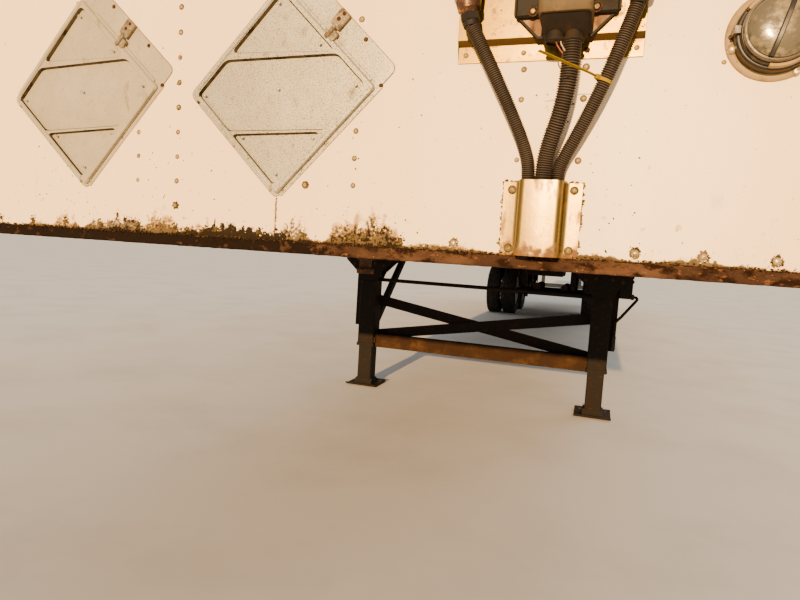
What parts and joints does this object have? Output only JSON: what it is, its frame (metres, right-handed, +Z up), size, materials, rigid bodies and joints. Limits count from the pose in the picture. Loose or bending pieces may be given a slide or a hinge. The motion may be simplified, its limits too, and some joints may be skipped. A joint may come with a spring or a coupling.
{
  "type": "semi trailer",
  "caption": "Dry van semi trailer with a white box body, rear doors, landing legs, a sliding tandem on twin tyres and hose fittings on its nose",
  "frame": {"origin": "bottom centre of the whole trailer, on the ground between the tyres and the sand shoes", "axes": "the nose faces -Y, the rear doors face +Y, +X is the trailer's left side and +Z is up"},
  "size_m": [2.591, 16.3, 4.115],
  "materials": {
    "white_paint": "weathered white paint on aluminium sheet",
    "rusty_steel": "black paint flaking off rusted steel",
    "mill_aluminium": "dull bare aluminium",
    "laminated_oak": "worn laminated hardwood",
    "black_paint": "dusty black chassis paint with rust",
    "forged_steel": "greasy forged steel",
    "galvanised_steel": "dull zinc coated steel",
    "flap_rubber": "matt black rubber sheet",
    "amber_lens": "moulded amber lens",
    "red_lens": "moulded red lens",
    "passivated_steel": "yellow passivated steel sheet",
    "black_plastic": "moulded black plastic",
    "cast_metal": "tarnished casting",
    "grey_plastic": "aged grey plastic",
    "clear_plastic": "clouded clear plastic",
    "tyre_rubber": "dusty black tyre rubber",
    "wheel_paint": "dusty white wheel enamel",
    "hub_iron": "rusty cast iron"
  },
  "bodies": {
    "trailer": {"front_wall": "white_paint", "front_sill": "rusty_steel", "front_posts": "white_paint", "front_header": "white_paint", "side_wall_left": "white_paint", "side_wall_right": "white_paint", "bottom_rails": "mill_aluminium", "top_rails": "mill_aluminium", "roof": "mill_aluminium", "floor": "laminated_oak", "floor_beams": "black_paint", "upper_coupler": "black_paint", "kingpin": "forged_steel", "rear_sill": "galvanised_steel", "rear_header": "galvanised_steel", "rear_posts": "galvanised_steel", "underride_guard": "galvanised_steel", "landing_legs": "black_paint", "landing_feet": "black_paint", "landing_beam": "rusty_steel", "landing_braces": "black_paint", "landing_gearbox": "black_paint", "cross_shaft": "black_paint", "crank_handle": "black_paint", "slider_frame": "black_paint", "spring_hangers": "black_paint", "leaf_springs": "black_paint", "axles": "black_paint", "brake_chambers": "black_paint", "air_tanks": "black_paint", "mud_flaps": "flap_rubber", "amber_lamps": "amber_lens", "red_lamps": "red_lens", "placard_holders": "mill_aluminium", "hose_plate": "passivated_steel", "socket_plate": "rusty_steel", "electrical_socket": "black_plastic", "gladhands": "cast_metal", "looms": "black_plastic", "loom_cover": "galvanised_steel", "document_holder": "grey_plastic", "document_cap": "clear_plastic"},
    "rear_door_left": {"door_left": "white_paint", "door_fittings_left": "galvanised_steel"},
    "rear_door_right": {"door_right": "white_paint", "door_fittings_right": "galvanised_steel"},
    "wheel_front_left": {"tyres_front_left": "tyre_rubber", "rims_front_left": "wheel_paint", "hub_front_left": "hub_iron"},
    "wheel_front_right": {"tyres_front_right": "tyre_rubber", "rims_front_right": "wheel_paint", "hub_front_right": "hub_iron"},
    "wheel_rear_left": {"tyres_rear_left": "tyre_rubber", "rims_rear_left": "wheel_paint", "hub_rear_left": "hub_iron"},
    "wheel_rear_right": {"tyres_rear_right": "tyre_rubber", "rims_rear_right": "wheel_paint", "hub_rear_right": "hub_iron"}
  },
  "joints": [
    {"name": "rear_door_left_hinge", "type": "hinge", "parent": "trailer", "child": "rear_door_left", "pos_m": [1.28, 8.136, 2.65], "axis": [0, 0, -1], "range_deg": [0, 260]},
    {"name": "rear_door_right_hinge", "type": "hinge", "parent": "trailer", "child": "rear_door_right", "pos_m": [-1.28, 8.136, 2.65], "axis": [0, 0, 1], "range_deg": [0, 260]},
    {"name": "wheel_front_left_spin", "type": "hinge", "parent": "trailer", "child": "wheel_front_left", "pos_m": [0.984, 3.8015, 0.51], "axis": [1, 0, 0], "continuous": true},
    {"name": "wheel_front_right_spin", "type": "hinge", "parent": "trailer", "child": "wheel_front_right", "pos_m": [-0.984, 3.8015, 0.51], "axis": [1, 0, 0], "continuous": true},
    {"name": "wheel_rear_left_spin", "type": "hinge", "parent": "trailer", "child": "wheel_rear_left", "pos_m": [0.984, 5.0465, 0.51], "axis": [1, 0, 0], "continuous": true},
    {"name": "wheel_rear_right_spin", "type": "hinge", "parent": "trailer", "child": "wheel_rear_right", "pos_m": [-0.984, 5.0465, 0.51], "axis": [1, 0, 0], "continuous": true}
  ]
}
